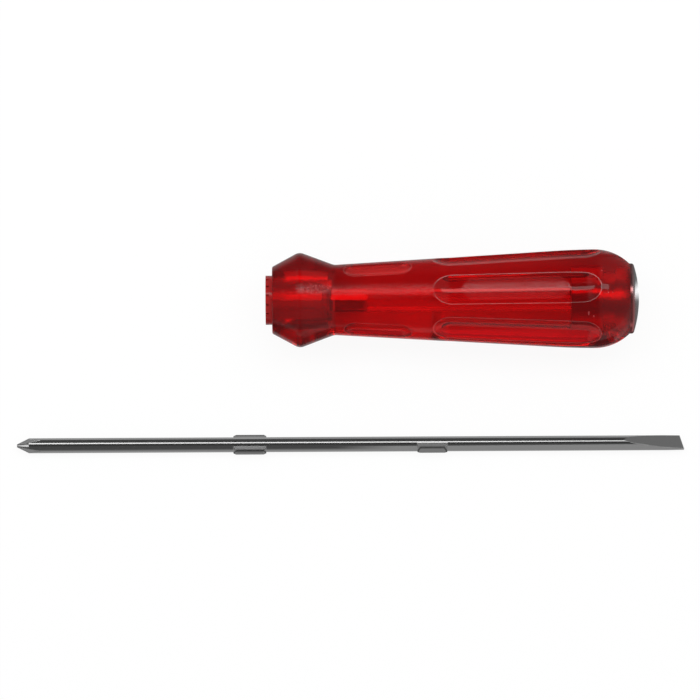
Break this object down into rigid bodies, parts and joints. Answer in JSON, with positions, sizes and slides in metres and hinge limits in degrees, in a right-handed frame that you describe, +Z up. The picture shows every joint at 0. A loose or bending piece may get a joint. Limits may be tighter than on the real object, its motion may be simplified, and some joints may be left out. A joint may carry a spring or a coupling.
{
  "type": "striking screwdriver",
  "caption": "Striking screwdriver: fluted translucent red handle with a steel striking cap, and a loose reversible bar blade with a Phillips point and a slotted tip.",
  "frame": {"origin": "under the middle of the handle and the blade together, on the surface they lie on", "axes": "+X from the Phillips point to the slotted tip, +Y from the blade to the handle, +Z up"},
  "size_m": [0.2676, 0.0814, 0.0394],
  "materials": {
    "grip": "clear red moulding",
    "nose_bush": "red moulding",
    "retaining_ring": "spring wire",
    "anvil": "turned",
    "striking_cap": "polished",
    "blade": "dark satin plating"
  },
  "bodies": {
    "handle": {"grip": "grip", "nose_bush": "nose_bush", "retaining_ring": "retaining_ring", "anvil": "anvil", "striking_cap": "striking_cap"},
    "blade": {"blade": "blade"}
  },
  "joints": [
    {"name": "blade_draw", "type": "slide", "parent": "handle", "child": "blade", "axis": [-1, 0, 0], "range_m": [0, 0.168]}
  ]
}
